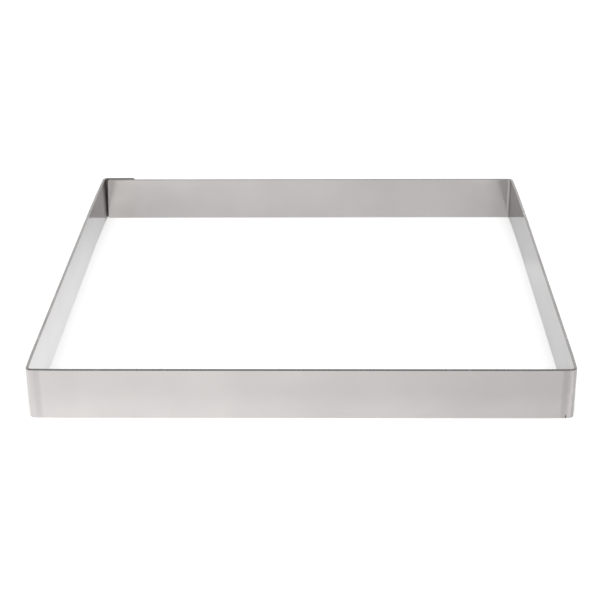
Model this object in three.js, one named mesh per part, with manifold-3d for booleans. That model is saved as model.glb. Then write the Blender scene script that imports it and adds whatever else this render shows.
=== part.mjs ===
// Square tart ring: one strip of stainless sheet bent round four corners into a bottomless square.
// The strip's ends lap at the back left corner, where the outer ply carries on past the bend as a short
// tab behind the back wall, and spot welds hold the two plies together.
// Millimetres, +Z up, with the origin at the centre of the square on the plane that the ring stands on.
// The back wall is at +Y, and the left wall, which runs on into the tab, is at -X.

import * as THREE from 'three';
import { mergeVertices } from 'three/addons/utils/BufferGeometryUtils.js';
import Module from 'manifold-3d';

// Clear width between opposite walls, and the height of the strip.
const insideWidth = 200;
const ringHeight = 20;

// The sheet, and the radius of its bends on their inner side.
const sheetThickness = 1.2;
const bendInsideRadius = 1.2;

// The lap: straight length of the tab, daylight between the plies, the gap that shows between the end
// of the inner ply and the wall beside it, and how close that end may come to the inside of the bend.
const tabLength = 13.8;
const lapGap = 1;
const plyEndGap = 1.5;
const plyEndClearance = 0.1;

// Rounding of the four corners of the strip's cut ends.
const endCornerRadius = 1;

// Spot welds: a lens of fused metal, widest between the plies, one above the other. The skin is the
// sheet left whole over each end of the lens.
const weldDiameter = 4.5;
const weldTipDiameter = 3;
const weldSkin = 0.4;
const weldPitch = 10;
const weldClearance = 0.2;

// Shallow round mark that the welding tip leaves on the outside of the tab.
const tipMarkDiameter = 5.5;
const tipMarkDepth = 0.1;

// Fineness of the round stretches.
const bendDivisions = 8;
const weldSides = 32;
const mergeDistance = 1e-4;

// Places that follow from the sizes.
const quarterTurn = Math.PI / 2;
const insideFace = insideWidth / 2;
const bendCentre = insideFace - bendInsideRadius;
const tabSetback = sheetThickness + lapGap;
const lapBendCentreY = bendCentre + tabSetback;
const tabInnerFace = insideFace + tabSetback;
const tabOuterFace = tabInnerFace + sheetThickness;
const tabEndX = tabLength - bendCentre;

// The outer edge of the inner ply's end can stand this far past the bend's centre line.
const plyReach = Math.sqrt(
  Math.max(0, (bendInsideRadius - plyEndClearance) ** 2 - (bendInsideRadius - lapGap) ** 2),
);
const plyEndX = Math.max(plyEndGap - insideFace, -bendCentre - plyReach);

const wasm = await Module();
wasm.setup();

// A closed geometry as a solid that can be cut.
function toSolid(geometry) {
  geometry.deleteAttribute('normal');
  geometry.deleteAttribute('uv');
  const merged = mergeVertices(geometry, mergeDistance);
  const mesh = new wasm.Mesh({
    numProp: 3,
    vertProperties: merged.attributes.position.array,
    triVerts: Uint32Array.from(merged.index.array),
  });
  return new wasm.Manifold(mesh);
}

// A cut solid as a geometry again.
function toGeometry(solid) {
  const mesh = solid.getMesh();
  const geometry = new THREE.BufferGeometry();
  geometry.setAttribute('position', new THREE.BufferAttribute(mesh.vertProperties, 3));
  geometry.setIndex(new THREE.BufferAttribute(mesh.triVerts, 1));
  geometry.computeVertexNormals();
  return geometry;
}

// One side of the strip seen from above, at a depth into the sheet from its inner face, from the end of
// the inner ply round to the end of the tab.
function stripSide(depth) {
  const side = new THREE.Path();
  const radius = bendInsideRadius + depth;
  side.moveTo(plyEndX, insideFace + depth);
  side.lineTo(bendCentre, insideFace + depth);
  side.absarc(bendCentre, bendCentre, radius, quarterTurn, 0, true);
  side.absarc(bendCentre, -bendCentre, radius, 0, -quarterTurn, true);
  side.absarc(-bendCentre, -bendCentre, radius, -quarterTurn, -2 * quarterTurn, true);
  side.absarc(-bendCentre, lapBendCentreY, radius, 2 * quarterTurn, quarterTurn, true);
  side.lineTo(tabEndX, tabInnerFace + depth);
  return side.getPoints(bendDivisions);
}

// The strip with square ends.
function bentStrip() {
  const innerSide = stripSide(0);
  const outerSide = stripSide(sheetThickness);
  const outline = new THREE.Shape([...innerSide, ...outerSide.reverse()]);
  return toSolid(new THREE.ExtrudeGeometry(outline, { depth: ringHeight, bevelEnabled: false }));
}

// What is taken off one corner of a cut end to round it. The end is at endX with the strip on its
// inward side, and the corner is on the edge at edgeZ with the strip on its upward side.
function endCornerCut(endX, inward, edgeZ, upward, nearFace, farFace) {
  const centreX = endX + inward * endCornerRadius;
  const centreZ = edgeZ + upward * endCornerRadius;
  const endAngle = inward > 0 ? Math.PI : 0;
  const corner = new THREE.Shape();
  corner.moveTo(endX, edgeZ);
  corner.lineTo(centreX, edgeZ);
  corner.absarc(centreX, centreZ, endCornerRadius, -upward * quarterTurn, endAngle, inward * upward > 0);
  const overrun = plyEndClearance / 2;
  const depth = farFace - nearFace + 2 * overrun;
  const cut = { depth, bevelEnabled: false, curveSegments: bendDivisions };
  const geometry = new THREE.ExtrudeGeometry(corner, cut);
  geometry.rotateX(quarterTurn);
  geometry.translate(0, farFace + overrun, 0);
  return toSolid(geometry);
}

// A spot weld lying across the lap, centred on itself, with room to spare all round it.
function weldLens(spareRadius) {
  const halfLength = lapGap / 2 + sheetThickness - weldSkin;
  const widest = weldDiameter / 2 + spareRadius;
  const tip = weldTipDiameter / 2 + spareRadius;
  const profile = [
    new THREE.Vector2(0, -halfLength),
    new THREE.Vector2(tip, -halfLength),
    new THREE.Vector2(widest, 0),
    new THREE.Vector2(tip, halfLength),
    new THREE.Vector2(0, halfLength),
  ];
  return new THREE.LatheGeometry(profile, weldSides);
}

// The round mark over a weld, sunk into the outside of the tab.
function tipMarkCut(place) {
  const height = 2 * tipMarkDepth;
  const geometry = new THREE.CylinderGeometry(tipMarkDiameter / 2, tipMarkDiameter / 2, height, weldSides);
  geometry.translate(place.x, tabOuterFace, place.z);
  return toSolid(geometry);
}

// The welds sit in the middle of the straight part of the lap, one above the other.
const weldX = (tabEndX - bendCentre) / 2;
const weldY = insideFace + sheetThickness + lapGap / 2;
const welds = [
  { name: 'spot_weld_upper', place: new THREE.Vector3(weldX, weldY, (ringHeight + weldPitch) / 2) },
  { name: 'spot_weld_lower', place: new THREE.Vector3(weldX, weldY, (ringHeight - weldPitch) / 2) },
];

// The strip with its end corners rounded, its tip marks and the pockets that the welds fill.
function ringStrip() {
  let solid = bentStrip();
  const backOuterFace = insideFace + sheetThickness;
  for (const [edgeZ, upward] of [[0, 1], [ringHeight, -1]]) {
    solid = solid.subtract(endCornerCut(plyEndX, 1, edgeZ, upward, insideFace, backOuterFace));
    solid = solid.subtract(endCornerCut(tabEndX, -1, edgeZ, upward, tabInnerFace, tabOuterFace));
  }
  for (const { place } of welds) {
    const pocket = weldLens(weldClearance);
    pocket.translate(place.x, place.y, place.z);
    solid = solid.subtract(toSolid(pocket));
    solid = solid.subtract(tipMarkCut(place));
  }
  return toGeometry(solid);
}

const brightSteel = new THREE.MeshStandardMaterial({ color: 0xcbc9c6, roughness: 0.2, metalness: 1 });
const weldSteel = new THREE.MeshStandardMaterial({ color: 0xa9a6a2, roughness: 0.45, metalness: 1 });

const tartRing = new THREE.Group();

const strip = new THREE.Mesh(ringStrip(), brightSteel);
strip.name = 'ring_strip';
tartRing.add(strip);

for (const { name, place } of welds) {
  const weld = new THREE.Mesh(weldLens(0), weldSteel);
  weld.name = name;
  weld.position.copy(place);
  tartRing.add(weld);
}

export default tartRing;
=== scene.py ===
"""Square tart ring: a bottomless square of bright stainless strip, bent round its corners and closed by a
spot welded lap at the back left corner, standing on a pale table under soft light."""
import math

import bpy
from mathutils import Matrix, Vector


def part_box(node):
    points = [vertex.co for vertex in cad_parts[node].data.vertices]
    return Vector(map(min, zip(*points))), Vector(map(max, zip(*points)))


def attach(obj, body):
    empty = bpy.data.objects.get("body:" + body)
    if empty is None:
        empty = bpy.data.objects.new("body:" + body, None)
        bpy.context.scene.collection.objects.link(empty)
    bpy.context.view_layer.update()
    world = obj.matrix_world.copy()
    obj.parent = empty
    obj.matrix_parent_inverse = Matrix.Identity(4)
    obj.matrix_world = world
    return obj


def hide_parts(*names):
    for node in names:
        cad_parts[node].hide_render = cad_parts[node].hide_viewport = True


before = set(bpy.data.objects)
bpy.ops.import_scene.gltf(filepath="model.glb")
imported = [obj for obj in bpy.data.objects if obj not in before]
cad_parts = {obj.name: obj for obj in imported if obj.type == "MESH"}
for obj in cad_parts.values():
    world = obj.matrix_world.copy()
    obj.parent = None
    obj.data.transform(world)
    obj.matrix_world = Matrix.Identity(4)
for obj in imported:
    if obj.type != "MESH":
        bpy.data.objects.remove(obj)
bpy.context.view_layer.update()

# Camera
# A short telephoto lens a little over half a metre in front of the ring, just right of its middle,
# looking down on it so that the whole opening shows.
lens_mm = 86.986
sensor_mm = 36
camera_place = (0.00984, -0.56947, 0.26545)
tilt_down = math.radians(24.879)
roll = math.radians(0.465)
turn_left = math.radians(0.971)
near_clip = 0.01

bpy.ops.object.select_all(action='DESELECT')
camera_angles = (math.pi / 2 - tilt_down, roll, turn_left)
bpy.ops.object.camera_add(location=camera_place, rotation=camera_angles)
camera = bpy.context.object
camera.name = "camera"
camera.data.lens = lens_mm
camera.data.sensor_width = sensor_mm
camera.data.clip_start = near_clip
bpy.context.scene.camera = camera

# Steel strip, shape
# One length of bright rolled stainless sheet, sheared to width, with its end corners rounded and its cut
# edges rubbed smooth. From its inner ply at the back left it is folded to the right round each corner, and
# it ends as a tab behind its own start. The shear has drawn the upper edge down on the outside.
strip_low, strip_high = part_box("ring_strip")
sheet = 0.0012
edge_round = 0.0002
edge_round_steps = 4
edge_round_angles = (0, 30, 60, 90)
shear_drop = 0.0001
end_round = 0.001
end_round_angles = (42, 50, 58, 66, 74, 82, 90)
ply_end_gap = 0.0015
tab_reach = 0.015
bend_radius = 0.0012
bend_steps = 12
# Radius and angle of the slight curve of a wall before it reaches a bend.
straight = (0, 0)
ease = (0.5, math.radians(1.7))
lean = (1.69, math.radians(1.53))
ease_steps = 8
spring_angle = math.radians(1.2)
spring_length = 0.006
spring_radius = 0.1
spring_steps = 3
merge_distance = 0.000001
ply_cut_angle = math.radians(2.1)
height = strip_high.z - strip_low.z
mid_height = (strip_high.z + strip_low.z) / 2
inside_face = strip_high.x - sheet
tab_inside_face = strip_high.y - sheet
ply_end = ply_end_gap - inside_face
tab_end = tab_reach - inside_face


def rounded(distance, radius):
    """How far an edge rounded to this radius has drawn back, at this distance in from the end."""
    if distance >= radius:
        return 0
    return radius - math.sqrt(radius ** 2 - (radius - distance) ** 2)


def end_section(distance):
    """Thickness and height of the strip at this distance in from a cut end."""
    return sheet - 2 * rounded(distance, edge_round), height - 2 * rounded(distance, end_round)


def resize_end(old, new, centre):
    """Brings the open end of the strip from one section to another about its centre."""
    factors = (1, new[0] / old[0], new[1] / old[1])
    bpy.ops.transform.resize(value=factors, center_override=centre)


def ahead(heading):
    """Which way the strip runs."""
    return Vector((math.cos(heading), math.sin(heading), 0))


def inward(heading):
    """Which way the inside of the ring lies, to the right of the way the strip runs."""
    return Vector((math.sin(heading), -math.cos(heading), 0))


def corner_run(near, far):
    """Length of a side that a bend takes up, with the slight curve of that side and of the next."""
    near_radius, near_angle = near
    far_radius, far_angle = far
    core = bend_radius * (math.cos(far_angle) - math.sin(near_angle))
    return near_radius * math.sin(near_angle) + core + far_radius * (1 - math.cos(far_angle))


end_stations = []
for angle in edge_round_angles:
    end_stations.append(edge_round * (1 - math.cos(math.radians(angle))))
for angle in end_round_angles:
    end_stations.append(end_round * (1 - math.cos(math.radians(angle))))

# The sheet eases into the front bends, and the side walls lean in a little toward the back ones.
turns = ((straight, lean), (ease, ease), (ease, ease), (lean, straight))
spring_run = spring_length * math.cos(spring_angle) + spring_radius * math.sin(spring_angle)
spring_rise = spring_length * math.sin(spring_angle) + spring_radius * (1 - math.cos(spring_angle))
sides = [inside_face - ply_end - spring_run, 2 * inside_face, 2 * inside_face,
         inside_face + tab_inside_face, tab_reach - end_round]
for number, (before, after) in enumerate(turns):
    sides[number] -= corner_run(before, after)
    sides[number + 1] -= corner_run(after, before)
folds = [(spring_length - end_round, spring_radius, spring_angle, spring_steps)]
for length, (before, after) in zip(sides, turns):
    folds.append((length, *before, ease_steps))
    folds.append((0, bend_radius, math.pi / 2 - before[1] - after[1], bend_steps))
    folds.append((0, *after, ease_steps))
folds.append((sides[-1], 0, 0, 0))

bpy.ops.object.select_all(action='DESELECT')
bpy.ops.mesh.primitive_plane_add(size=1, location=(0, 0, 0))
strip = bpy.context.object
strip.name = "steel_strip"
bpy.ops.object.mode_set(mode='EDIT')
bpy.ops.transform.rotate(value=math.pi / 2, orient_axis='Y', center_override=(0, 0, 0))
bpy.ops.transform.resize(value=(1, sheet, height), center_override=(0, 0, 0))
bpy.ops.mesh.select_all(action='DESELECT')
bpy.ops.object.mode_set(mode='OBJECT')
for point in strip.data.vertices:
    point.select = point.co.y > 0 and point.co.z > 0
bpy.ops.object.mode_set(mode='EDIT')
bpy.ops.transform.translate(value=(0, 0, -shear_drop))
bpy.ops.mesh.select_all(action='SELECT')
bpy.ops.mesh.bevel(offset=edge_round, segments=edge_round_steps, affect='VERTICES')
heading = spring_angle
here = Vector((ply_end, inside_face - spring_rise, mid_height))
centre = here - inward(heading) * sheet / 2
bpy.ops.transform.rotate(value=-heading, orient_axis='Z', center_override=(0, 0, 0))
bpy.ops.transform.translate(value=centre)
resize_end((sheet, height), end_section(0), centre)
for near, far in zip(end_stations[:-1], end_stations[1:]):
    step = ahead(heading) * (far - near)
    bpy.ops.mesh.extrude_region_move(TRANSFORM_OT_translate={"value": step})
    here += step
    resize_end(end_section(near), end_section(far), here - inward(heading) * sheet / 2)
for length, radius, angle, steps in folds:
    if length:
        step = ahead(heading) * length
        bpy.ops.mesh.extrude_region_move(TRANSFORM_OT_translate={"value": step})
        here += step
    if angle:
        centre = here + inward(heading) * radius
        bpy.ops.mesh.spin(steps=steps, angle=angle, center=centre, axis=(0, 0, 1))
        heading -= angle
        here = centre - inward(heading) * radius
for near, far in zip(end_stations[:0:-1], end_stations[-2::-1]):
    step = ahead(heading) * (near - far)
    bpy.ops.mesh.extrude_region_move(TRANSFORM_OT_translate={"value": step})
    here += step
    resize_end(end_section(near), end_section(far), here - inward(heading) * sheet / 2)
bpy.ops.mesh.select_all(action='SELECT')
bpy.ops.mesh.remove_doubles(threshold=merge_distance)
bpy.ops.mesh.normals_make_consistent(inside=False)

# The end of the inner ply was cut a little out of square, leaning away from the wall beside it.
bpy.ops.mesh.select_all(action='DESELECT')
bpy.ops.object.mode_set(mode='OBJECT')
cut_middle = Vector((ply_end + end_round, inside_face + sheet / 2, mid_height))
for point in strip.data.vertices:
    from_cut = point.co - cut_middle
    point.select = abs(from_cut.x) < end_round + edge_round and abs(from_cut.y) < sheet
bpy.ops.object.mode_set(mode='EDIT')
bpy.ops.transform.rotate(value=-ply_cut_angle, orient_axis='Y', center_override=cut_middle)
bpy.ops.object.mode_set(mode='OBJECT')

# Steel strip, lap
# Where the two plies are spot welded, the welding tip has left a shallow round dish on the outside of the
# tab, and each weld fills a pocket that reaches into both plies.
weld_nodes = ("spot_weld_upper", "spot_weld_lower")
pocket_room = 0.0002
dish_radius = 0.00275
dish_floor_radius = 0.0019
dish_depth = 0.0001
dish_sides = 48
smooth_angle = math.radians(35)


def cut_out(cutter):
    """Takes the cutter's shape out of the strip and clears the cutter away."""
    bpy.ops.object.select_all(action='DESELECT')
    strip.select_set(True)
    bpy.context.view_layer.objects.active = strip
    bpy.ops.object.modifier_add(type='BOOLEAN')
    strip.modifiers[-1].object = cutter
    strip.modifiers[-1].operation = 'DIFFERENCE'
    strip.modifiers[-1].solver = 'EXACT'
    bpy.ops.object.modifier_apply(modifier=strip.modifiers[-1].name)
    bpy.data.objects.remove(cutter)


weld_middles = []
for name in weld_nodes:
    weld_low, weld_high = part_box(name)
    weld_middle = (weld_low + weld_high) / 2
    weld_middles.append(weld_middle)
    bpy.ops.object.select_all(action='DESELECT')
    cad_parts[name].select_set(True)
    bpy.context.view_layer.objects.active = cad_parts[name]
    bpy.ops.object.duplicate()
    pocket = bpy.context.object
    bpy.ops.object.mode_set(mode='EDIT')
    bpy.ops.mesh.select_all(action='SELECT')
    bpy.ops.mesh.remove_doubles(threshold=merge_distance)
    wider = 1 + 2 * pocket_room / (weld_high.x - weld_low.x)
    bpy.ops.transform.resize(value=(wider, 1, wider), center_override=weld_middle)
    bpy.ops.object.mode_set(mode='OBJECT')
    cut_out(pocket)
    bpy.ops.object.select_all(action='DESELECT')
    outer_rim = (weld_middle.x, strip_high.y, weld_middle.z)
    bpy.ops.mesh.primitive_cone_add(vertices=dish_sides, radius1=dish_floor_radius,
                                    radius2=2 * dish_radius - dish_floor_radius, depth=2 * dish_depth,
                                    location=outer_rim, rotation=(-math.pi / 2, 0, 0))
    bpy.ops.object.transform_apply(location=True, rotation=True, scale=True)
    cut_out(bpy.context.object)

bpy.ops.object.shade_smooth_by_angle(angle=smooth_angle)
bpy.ops.object.modifier_add(type='WEIGHTED_NORMAL')
strip.modifiers[-1].keep_sharp = True
bpy.ops.object.modifier_apply(modifier=strip.modifiers[-1].name)

# Steel strip, bright faces
# Cold rolled stainless, nearly a mirror, with fine lines along the sheet from the rolls and faint clouds
# from handling. Round the outside of each bend it is painted in light and dark bands as reflections, the
# darker bands rougher too. Inside each fold it is rougher and painted darker as shade, with a painted
# highlight on one half, and a small painted reflection of shade marks the foot of the front right bend.
# The welding heat has tinted the tab and left a dull brown scale between the plies, and the inner ply is
# painted darker round the welds as shade in the back left corner.
clean_steel = (0.522, 0.504, 0.495, 1)
cloudy_steel = (0.497, 0.477, 0.47, 1)
fold_shade_steel = (0.429, 0.413, 0.404, 1)
fold_highlight_steel = (0.616, 0.594, 0.583, 1)
foot_reflection_shade = (0.12, 0.115, 0.11, 1)
steel_edge_tint = (0.829, 0.835, 0.845, 1)
cloud_size = 0.025
cloud_detail = 4
cloud_edges = (0.3, 0.7)
line_length = 0.03
line_spacing = 0.00025
line_depth = 0.000001
line_detail = 3
plain_roughness = 0.085
line_roughness = 0.03
cloud_roughness = 0.04
dull_roughness = 1
fold_roughness = 0.2
fold_start, fold_end = 0.0022, 0.0016
fold_turn = 0.001
fold_shade_start, fold_shade_end = 0.014, 0.004
fold_shade_strength = 0.7
# Painted light and dark reflection bands: tone of the steel at distances from the middle of a wall, at its
# left and right bend.
left_reflection_bands = ((0.0952, 1), (0.0961, 0.92), (0.0966, 0.9), (0.0977, 0.9), (0.0983, 0.95), (0.0988, 0.96))
right_reflection_bands = ((0.0953, 1), (0.0963, 0.86), (0.0973, 0.85), (0.098, 0.9), (0.0985, 1), (0.0989, 1.06),
               (0.0993, 1.04), (0.0998, 0.8))
dark_tone, bright_tone = 0.75, 1.15
tone_start, tone_end = 0.095, 0.101
tone_waver = 0.0011
waver_length = 0.005
waver_shift = 0.3
foot_mark_middle = (0.0977, -0.1012, 0)
foot_mark_reach = (0.0003, 0.004, 0.0019)
foot_mark_core = 0.6
heat_reach = 0.0062
heat_edge = 0.2
heat_strength = 0.65
heat_roughness = 0.2
ply_shade_reach = 0.012
ply_shade_strength = 0.28
ply_shade_colour = (0.33, 0.303, 0.281, 1)
lap_scale = (0.5, 0.46, 0.41, 1)
lap_roughness = 0.6
lap_dull_start, lap_dull_end = 0.009, 0.004
lap_dull_roughness = 0.25
heat_colours = ((0.1, (0.45, 0.41, 0.33, 1)), (0.4, (0.4, 0.33, 0.24, 1)), (0.6, (0.33, 0.3, 0.3, 1)),
                (0.8, (0.4, 0.38, 0.35, 1)))


def feed(tree, value, socket):
    """Links an output to an input, or sets the input to a plain value."""
    if isinstance(value, bpy.types.NodeSocket):
        tree.links.new(value, socket)
    else:
        socket.default_value = value


def maths(tree, operation, *values):
    """A maths node on outputs or plain numbers. Gives its result."""
    node = tree.nodes.new("ShaderNodeMath")
    node.operation = operation
    for value, socket in zip(values, node.inputs):
        feed(tree, value, socket)
    return node.outputs["Value"]


def fade(tree, value, start, end, start_gives=0, end_gives=1):
    """Turns a value that runs from start to end smoothly into one between the two that are given."""
    node = tree.nodes.new("ShaderNodeMapRange")
    node.interpolation_type = 'SMOOTHSTEP'
    feed(tree, value, node.inputs["Value"])
    feed(tree, start, node.inputs["From Min"])
    feed(tree, end, node.inputs["From Max"])
    feed(tree, start_gives, node.inputs["To Min"])
    feed(tree, end_gives, node.inputs["To Max"])
    return node.outputs["Result"]


# A mix node's colour sockets share their names with others, so they go by number.
first_colour, second_colour, mixed_colour = 6, 7, 2


def mixed(tree, amount, first, second):
    """Mixes two colours. Gives the mixture."""
    node = tree.nodes.new("ShaderNodeMix")
    node.data_type = 'RGBA'
    feed(tree, amount, node.inputs[0])
    feed(tree, first, node.inputs[first_colour])
    feed(tree, second, node.inputs[second_colour])
    return node.outputs[mixed_colour]


def ramp(tree, value, stops):
    """A colour ramp with these stops of place and colour. Gives its colour."""
    node = tree.nodes.new("ShaderNodeValToRGB")
    elements = node.color_ramp.elements
    while len(elements) < len(stops):
        elements.new(1)
    for element, (position, colour) in zip(elements, stops):
        element.position = position
        element.color = colour
    feed(tree, value, node.inputs["Fac"])
    return node.outputs["Color"]


def place_in(tree):
    """The place on the piece. Gives the whole vector and its three numbers."""
    place = tree.nodes.new("ShaderNodeTexCoord").outputs["Object"]
    split = tree.nodes.new("ShaderNodeSeparateXYZ")
    tree.links.new(place, split.inputs[0])
    return place, split.outputs["X"], split.outputs["Y"], split.outputs["Z"]


def noise_along(tree, distance, length):
    """Noise along one line, whose ups and downs are about this long. Gives a value round a half."""
    node = tree.nodes.new("ShaderNodeTexNoise")
    node.noise_dimensions = '1D'
    node.inputs["Scale"].default_value = 1 / length
    node.inputs["Detail"].default_value = line_detail
    feed(tree, distance, node.inputs["W"])
    return node.outputs["Fac"]


def new_group(name, goes_in, comes_out):
    """An empty node group with one named number going in and one coming out. Gives it and both sockets."""
    group = bpy.data.node_groups.new(name, "ShaderNodeTree")
    group.interface.new_socket(goes_in, in_out='INPUT', socket_type='NodeSocketFloat')
    group.interface.new_socket(comes_out, in_out='OUTPUT', socket_type='NodeSocketFloat')
    start = group.nodes.new("NodeGroupInput")
    end = group.nodes.new("NodeGroupOutput")
    return group, start.outputs[goes_in], end.inputs[comes_out]


def use_group(tree, group, value):
    """Places a group in a material with its own value. Gives what comes out."""
    node = tree.nodes.new("ShaderNodeGroup")
    node.node_tree = group
    node.inputs[0].default_value = value
    return node.outputs[0]


def hypotenuse(tree, first, second):
    """The straight distance that two distances at right angles make."""
    squares = maths(tree, 'ADD', maths(tree, 'POWER', first, 2), maths(tree, 'POWER', second, 2))
    return maths(tree, 'SQRT', squares)


# Cloudy marks: soft patches of about the size given.
cloudy_marks, group_in, group_out = new_group("cloudy_marks", "Size", "Clouds")
clouds = cloudy_marks.nodes.new("ShaderNodeTexNoise")
clouds.inputs["Detail"].default_value = cloud_detail
place, across, along, up = place_in(cloudy_marks)
feed(cloudy_marks, place, clouds.inputs["Vector"])
feed(cloudy_marks, maths(cloudy_marks, 'DIVIDE', 1, group_in), clouds.inputs["Scale"])
feed(cloudy_marks, fade(cloudy_marks, clouds.outputs["Fac"], *cloud_edges), group_out)

# Weld nearness: 1 over the middle of a weld, down to 0 at the reach given.
weld_nearness, group_in, group_out = new_group("weld_nearness", "Reach", "Heat")
place, across, along, up = place_in(weld_nearness)
distances = []
for middle in weld_middles:
    sideways = maths(weld_nearness, 'SUBTRACT', across, middle.x)
    upward = maths(weld_nearness, 'SUBTRACT', up, middle.z)
    distances.append(hypotenuse(weld_nearness, sideways, upward))
nearest = maths(weld_nearness, 'MINIMUM', *distances)
share = maths(weld_nearness, 'DIVIDE', nearest, group_in)
feed(weld_nearness, fade(weld_nearness, share, 0, 1, 1, 0), group_out)

bright_steel = bpy.data.materials.new("bright_steel")
bright_steel.use_nodes = True
tree = bright_steel.node_tree
place, across, along, up = place_in(tree)
stretch = tree.nodes.new("ShaderNodeMapping")
stretch.inputs["Scale"].default_value = (1 / line_length, 1 / line_length, 1 / line_spacing)
tree.links.new(place, stretch.inputs["Vector"])
roll_lines = tree.nodes.new("ShaderNodeTexNoise")
roll_lines.inputs["Scale"].default_value = 1
roll_lines.inputs["Detail"].default_value = line_detail
tree.links.new(stretch.outputs["Vector"], roll_lines.inputs["Vector"])
cloud_mask = use_group(tree, cloudy_marks, cloud_size)
steel_colour = mixed(tree, cloud_mask, clean_steel, cloudy_steel)

# How far a point is from the middle of the side that its bend ends, and whether it is on the outside.
bend_centre = inside_face - bend_radius
lap_step = tab_inside_face - inside_face
lapped = maths(tree, 'MULTIPLY', maths(tree, 'LESS_THAN', across, 0), lap_step)
side = maths(tree, 'ABSOLUTE', across)
depth = maths(tree, 'MAXIMUM', maths(tree, 'SUBTRACT', along, lapped), maths(tree, 'MULTIPLY', along, -1))
past_side = maths(tree, 'MAXIMUM', maths(tree, 'SUBTRACT', side, bend_centre), 0)
past_depth = maths(tree, 'MAXIMUM', maths(tree, 'SUBTRACT', depth, bend_centre), 0)
bend_distance = hypotenuse(tree, past_side, past_depth)
outside = fade(tree, bend_distance, bend_radius + sheet / 3, bend_radius + sheet * 2 / 3)
waver = noise_along(tree, maths(tree, 'MULTIPLY_ADD', across, waver_shift, up), waver_length)
nearness = maths(tree, 'MINIMUM', side, depth)
to_bend = maths(tree, 'MULTIPLY_ADD', waver, tone_waver, nearness)
# Painted reflections: light and dark bands round the outside of each bend, the darker ones rougher too.
tone_range = tone_end - tone_start
past_start = maths(tree, 'SUBTRACT', to_bend, tone_start + tone_waver / 2)
tone_place = maths(tree, 'DIVIDE', past_start, tone_range)
tones = []
for tone_list in (left_reflection_bands, right_reflection_bands):
    stops = []
    for distance, tone in tone_list:
        shade = (tone - dark_tone) / (bright_tone - dark_tone)
        stops.append(((distance - tone_start) / tone_range, (shade, shade, shade, 1)))
    tones.append(ramp(tree, tone_place, stops))
painted_bend_bands = mixed(tree, maths(tree, 'GREATER_THAN', across, 0), *tones)
brightness = maths(tree, 'MULTIPLY_ADD', painted_bend_bands, bright_tone - dark_tone, dark_tone)
toned = tree.nodes.new("ShaderNodeVectorMath")
toned.operation = 'SCALE'
tree.links.new(steel_colour, toned.inputs["Vector"])
tree.links.new(brightness, toned.inputs["Scale"])
steel_colour = mixed(tree, outside, steel_colour, toned.outputs["Vector"])
dullness = maths(tree, 'MAXIMUM', maths(tree, 'SUBTRACT', 1, brightness), 0)
dullness = maths(tree, 'MULTIPLY', dullness, outside)

# Inside each fold the steel is rougher and painted darker as shade, with a painted highlight on its
# right-hand half. At the back right, the walls beside the fold are painted darker too, as shade.
in_fold = fade(tree, nearness, inside_face - fold_start, inside_face - fold_end)
in_fold = maths(tree, 'MULTIPLY', in_fold, maths(tree, 'SUBTRACT', 1, outside))
at_back_right = maths(tree, 'GREATER_THAN', maths(tree, 'MINIMUM', across, along), 0)
beside_fold_shade = fade(tree, nearness, inside_face - fold_shade_start, inside_face - fold_shade_end, 0, fold_shade_strength)
beside_fold_shade = maths(tree, 'MULTIPLY', beside_fold_shade, at_back_right)
beside_fold_shade = maths(tree, 'MULTIPLY', beside_fold_shade, maths(tree, 'SUBTRACT', 1, outside))
steel_colour = mixed(tree, maths(tree, 'MAXIMUM', in_fold, beside_fold_shade), steel_colour, fold_shade_steel)
fold_side = fade(tree, maths(tree, 'SUBTRACT', side, depth), -fold_turn, fold_turn / 2)
fold_highlight = maths(tree, 'MULTIPLY', in_fold, fold_side)
steel_colour = mixed(tree, fold_highlight, steel_colour, fold_highlight_steel)

# A small dark mark painted at the foot of the front right bend: a painted reflection of shade.
foot_mark_place = tree.nodes.new("ShaderNodeMapping")
foot_mark_place.vector_type = 'TEXTURE'
foot_mark_place.inputs["Location"].default_value = foot_mark_middle
foot_mark_place.inputs["Scale"].default_value = foot_mark_reach
tree.links.new(place, foot_mark_place.inputs["Vector"])
from_foot_mark = tree.nodes.new("ShaderNodeVectorMath")
from_foot_mark.operation = 'LENGTH'
tree.links.new(foot_mark_place.outputs["Vector"], from_foot_mark.inputs[0])
in_foot_mark = fade(tree, from_foot_mark.outputs["Value"], foot_mark_core, 1, 1, 0)
steel_colour = mixed(tree, in_foot_mark, steel_colour, foot_reflection_shade)

# Heat tint on the outside of the tab, painted shade that darkens and browns the inner ply round the welds
# in the back left corner, the scale between the two, and the duller end of the wall beside them.
heat = use_group(tree, weld_nearness, heat_reach)
on_tab = fade(tree, along, tab_inside_face + sheet / 3, tab_inside_face + sheet * 2 / 3)
tinted = maths(tree, 'MULTIPLY', fade(tree, heat, 0, heat_edge, 0, heat_strength), on_tab)
steel_colour = mixed(tree, tinted, steel_colour, ramp(tree, heat, heat_colours))
at_lap = maths(tree, 'GREATER_THAN', along, inside_face - sheet)
ply_shade = maths(tree, 'MULTIPLY', use_group(tree, weld_nearness, ply_shade_reach), at_lap)
ply_shade = maths(tree, 'MULTIPLY', ply_shade, ply_shade_strength)
steel_colour = mixed(tree, ply_shade, steel_colour, ply_shade_colour)
between_plies = fade(tree, along, inside_face + sheet / 2, inside_face + sheet)
between_plies = maths(tree, 'MULTIPLY', between_plies, maths(tree, 'SUBTRACT', 1, outside))
between_plies = maths(tree, 'MULTIPLY', between_plies, maths(tree, 'LESS_THAN', across, tab_end))
steel_colour = mixed(tree, between_plies, steel_colour, lap_scale)
beside_lap = fade(tree, along, inside_face - lap_dull_start, inside_face - lap_dull_end)
past_ply_end = maths(tree, 'LESS_THAN', across, ply_end - ply_end_gap / 3)
beside_lap = maths(tree, 'MULTIPLY', beside_lap, past_ply_end)
beside_lap = maths(tree, 'MULTIPLY', beside_lap, maths(tree, 'SUBTRACT', 1, outside))

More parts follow.
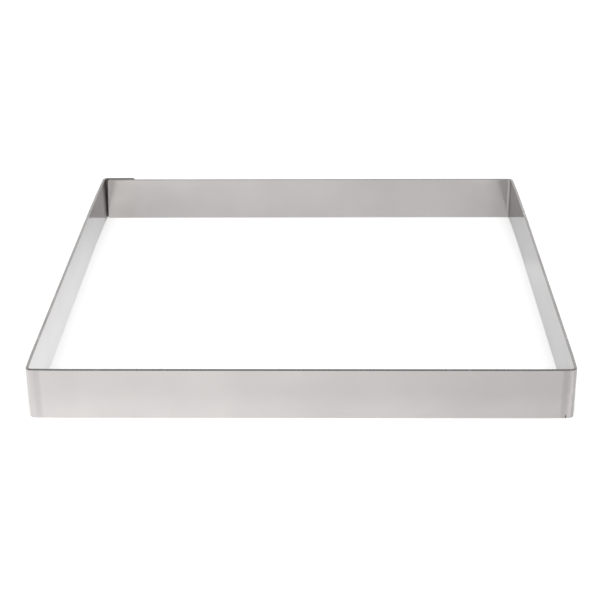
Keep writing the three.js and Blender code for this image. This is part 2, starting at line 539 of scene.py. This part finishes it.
roughness = maths(tree, 'MULTIPLY_ADD', roll_lines.outputs["Fac"], line_roughness, plain_roughness)
roughness = maths(tree, 'MULTIPLY_ADD', cloud_mask, cloud_roughness, roughness)
roughness = maths(tree, 'MULTIPLY_ADD', dullness, dull_roughness, roughness)
roughness = maths(tree, 'MULTIPLY_ADD', in_fold, fold_roughness, roughness)
roughness = maths(tree, 'MULTIPLY_ADD', tinted, heat_roughness, roughness)
roughness = maths(tree, 'MULTIPLY_ADD', between_plies, lap_roughness, roughness)
roughness = maths(tree, 'MULTIPLY_ADD', beside_lap, lap_dull_roughness, roughness)
line_bump = tree.nodes.new("ShaderNodeBump")
line_bump.inputs["Distance"].default_value = line_depth
tree.links.new(roll_lines.outputs["Fac"], line_bump.inputs["Height"])
steel_shader = tree.nodes["Principled BSDF"]
steel_shader.inputs["Metallic"].default_value = 1
steel_shader.inputs["Specular Tint"].default_value = steel_edge_tint
tree.links.new(steel_colour, steel_shader.inputs["Base Color"])
tree.links.new(roughness, steel_shader.inputs["Roughness"])
tree.links.new(line_bump.outputs["Normal"], steel_shader.inputs["Normal"])
strip.data.materials.append(bright_steel)

# Steel strip, cut edges
# The edges and ends as the shear left them, then rubbed down: duller than the faces, with fine lines across
# the sheet and small painted glints here and there. Round the lap the edges are painted darker and browner.
edge_dark = (0.465, 0.455, 0.445, 1)
edge_light = (0.545, 0.53, 0.52, 1)
edge_glint = (0.62, 0.6, 0.59, 1)
edge_darkened = (0.17, 0.15, 0.125, 1)
shear_line = 0.0004
shear_line_depth = 0.000005
shear_edges = (0.3, 0.7)
glint_spacing = 0.004
glint_edges = (0.66, 0.74)
edge_cloud_size = 0.012
edge_roughness = 0.2
edge_line_roughness = 0.15
edge_cloud_roughness = 0.08
lap_edge_reach = 0.04
lap_edge_depth = 0.03
tab_edge_darkening = 0.2
ply_edge_darkening = 0.45
edge_slope = 0.5
cut_edge = bpy.data.materials.new("sheared_edge")
cut_edge.use_nodes = True
tree = cut_edge.node_tree
place, across, along, up = place_in(tree)
on_side = maths(tree, 'GREATER_THAN', maths(tree, 'ABSOLUTE', across), maths(tree, 'ABSOLUTE', along))
side_run = maths(tree, 'MULTIPLY', on_side, along)
wall_run = maths(tree, 'MULTIPLY', maths(tree, 'SUBTRACT', 1, on_side), across)
run = maths(tree, 'ADD', side_run, wall_run)
shear_lines = fade(tree, noise_along(tree, run, shear_line), *shear_edges)
# Lighter patches at random along the edges: painted glints.
edge_glints = fade(tree, noise_along(tree, run, glint_spacing), *glint_edges)
edge_clouds = use_group(tree, cloudy_marks, edge_cloud_size)
edge_colour = mixed(tree, shear_lines, edge_dark, edge_light)
edge_colour = mixed(tree, edge_glints, edge_colour, edge_glint)
# The edges round the lap are painted darker and browner.
lap_edge_mask = use_group(tree, weld_nearness, lap_edge_reach)
near_lap = fade(tree, along, inside_face - lap_edge_depth, inside_face)
lap_edge_mask = maths(tree, 'MULTIPLY', lap_edge_mask, near_lap)
lap_middle = (inside_face + sheet + tab_inside_face) / 2
edge_darkening = fade(tree, along, lap_middle - sheet / 6, lap_middle + sheet / 6, ply_edge_darkening, tab_edge_darkening)
edge_darkening = maths(tree, 'MULTIPLY', edge_darkening, lap_edge_mask)
edge_colour = mixed(tree, edge_darkening, edge_colour, edge_darkened)
roughness = maths(tree, 'MULTIPLY_ADD', shear_lines, edge_line_roughness, edge_roughness)
roughness = maths(tree, 'MULTIPLY_ADD', edge_clouds, edge_cloud_roughness, roughness)
shear_bump = tree.nodes.new("ShaderNodeBump")
shear_bump.inputs["Distance"].default_value = shear_line_depth
tree.links.new(shear_lines, shear_bump.inputs["Height"])
edge_shader = tree.nodes["Principled BSDF"]
edge_shader.inputs["Metallic"].default_value = 1
tree.links.new(edge_colour, edge_shader.inputs["Base Color"])
tree.links.new(roughness, edge_shader.inputs["Roughness"])
tree.links.new(shear_bump.outputs["Normal"], edge_shader.inputs["Normal"])
strip.data.materials.append(cut_edge)
for face in strip.data.polygons:
    on_inner_ply = inside_face - spring_rise < face.center.y < tab_inside_face
    at_ply_end = on_inner_ply and face.center.x < ply_end + end_round
    at_tab_end = face.center.y > tab_inside_face and face.center.x > tab_end - end_round
    across_end = (at_ply_end or at_tab_end) and abs(face.normal.y) < edge_slope
    if abs(face.normal.z) > edge_slope or across_end:
        face.material_index = 1

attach(strip, "root")
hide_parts("ring_strip")

# Spot welds
# Two lenses of metal fused between the plies of the lap by the welding current, one above the other. Their
# steel has cooled dull and mottled.
weld_dark = (0.24, 0.22, 0.2, 1)
weld_light = (0.4, 0.37, 0.34, 1)
weld_mottle_size = 0.0012
weld_roughness = 0.4
weld_mottle_roughness = 0.25
weld_steel = bpy.data.materials.new("weld_steel")
weld_steel.use_nodes = True
tree = weld_steel.node_tree
mottle = use_group(tree, cloudy_marks, weld_mottle_size)
weld_shader = tree.nodes["Principled BSDF"]
weld_shader.inputs["Metallic"].default_value = 1
tree.links.new(mixed(tree, mottle, weld_dark, weld_light), weld_shader.inputs["Base Color"])
roughness = maths(tree, 'MULTIPLY_ADD', mottle, weld_mottle_roughness, weld_roughness)
tree.links.new(roughness, weld_shader.inputs["Roughness"])
for name in weld_nodes:
    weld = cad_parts[name]
    weld.data.materials.clear()
    weld.data.materials.append(weld_steel)

# Table
# A pale opal table top, wide enough to fill the view. To the eye it is plain white with the ring's soft
# shadow. The steel mirrors it brighter in patches, most of all at the front left and along its own feet.
table_width = 12
table_colour = (0.8, 0.8, 0.8, 1)
table_glow = 0.304
plain_glow = 0.49
# Middle of each bright patch, where it starts to fade, where it ends, and what it adds.
light_pools = (((-0.17, -0.2, 0), 0.1, 0.31, 0.355), ((0.14, -0.1, 0), 0.02, 0.05, 0.182),
               ((0, 0.1, 0), 0.02, 0.1, 0.091), ((-0.1, 0, 0), 0.02, 0.16, 0.182),
               ((0.1, -0.01, 0), 0.045, 0.065, 0.164), ((0.1, 0.09, 0), 0.03, 0.09, 0.045),
               ((0, -0.105, 0), 0.03, 0.1, 0.064))
# The same along the foot of a wall, by the distance from the wall.
left_foot = (0.002, 0.012, 0.182)
right_foot = (0.002, 0.006, 0.073)
front_foot = (0.005, 0.024, 0.118)
bpy.ops.object.select_all(action='DESELECT')
bpy.ops.mesh.primitive_plane_add(size=table_width, location=(0, 0, 0))
table = bpy.context.object
table.name = "table"
opal_table = bpy.data.materials.new("opal_table")
opal_table.use_nodes = True
tree = opal_table.node_tree
tree.nodes.clear()
place, across, along, up = place_in(tree)
glow = table_glow
for middle, near, far, brightness in light_pools:
    away = tree.nodes.new("ShaderNodeVectorMath")
    away.operation = 'DISTANCE'
    away.inputs[1].default_value = middle
    tree.links.new(place, away.inputs[0])
    glow = maths(tree, 'ADD', fade(tree, away.outputs["Value"], near, far, brightness, 0), glow)
between_ends = maths(tree, 'LESS_THAN', maths(tree, 'ABSOLUTE', along), inside_face)
feet = ((across, -inside_face, left_foot, between_ends), (across, inside_face, right_foot, between_ends),
        (along, -inside_face, front_foot, 1))
for distance, wall, (near, far, brightness), room in feet:
    from_wall = maths(tree, 'ABSOLUTE', maths(tree, 'SUBTRACT', distance, wall))
    foot_glow = fade(tree, from_wall, near, far, brightness, 0)
    glow = maths(tree, 'MULTIPLY_ADD', foot_glow, room, glow)
light_path = tree.nodes.new("ShaderNodeLightPath")
glossy_ray = light_path.outputs["Is Glossy Ray"]
mirrored = maths(tree, 'ADD', glossy_ray, light_path.outputs["Is Transmission Ray"])
matt = tree.nodes.new("ShaderNodeBsdfDiffuse")
matt.inputs["Color"].default_value = table_colour
white = tree.nodes.new("ShaderNodeEmission")
lit = maths(tree, 'MULTIPLY', mirrored, glow)
lit = maths(tree, 'MULTIPLY_ADD', light_path.outputs["Is Camera Ray"], plain_glow, lit)
tree.links.new(lit, white.inputs["Strength"])
both = tree.nodes.new("ShaderNodeAddShader")
tree.links.new(matt.outputs[0], both.inputs[0])
tree.links.new(white.outputs[0], both.inputs[1])
surface = tree.nodes.new("ShaderNodeOutputMaterial")
tree.links.new(both.outputs[0], surface.inputs["Surface"])
table.data.materials.append(opal_table)

# Studio light
# A broad soft lamp overhead and a little in front of the ring, in a room with white walls and a dim
# ceiling that the bright steel mirrors.
lamp_from = Vector((0, -0.3, 0.8))
lamp_spread = math.radians(40)
lamp_strength = 1.4
bpy.ops.object.select_all(action='DESELECT')
bpy.ops.object.light_add(type='SUN', location=lamp_from)
lamp = bpy.context.object
lamp.name = "soft_lamp"
lamp.data.energy = lamp_strength
lamp.data.angle = lamp_spread
lamp.visible_glossy = False
lamp.rotation_euler = lamp_from.to_track_quat('Z', 'Y').to_euler()

white_wall = (1, 1, 1, 1)
dim_ceiling = (0.2, 0.2, 0.2, 1)
wall_top = math.radians(24)
ceiling_start = math.radians(36)
world = bpy.data.worlds.new("room")
bpy.context.scene.world = world
world.use_nodes = True
tree = world.node_tree
direction = tree.nodes.new("ShaderNodeTexCoord")
parts = tree.nodes.new("ShaderNodeSeparateXYZ")
tree.links.new(direction.outputs["Generated"], parts.inputs[0])
room_stops = ((math.sin(wall_top), white_wall), (math.sin(ceiling_start), dim_ceiling))
tree.links.new(ramp(tree, parts.outputs["Z"], room_stops), tree.nodes["Background"].inputs["Color"])

bpy.context.scene.view_settings.view_transform = 'Standard'
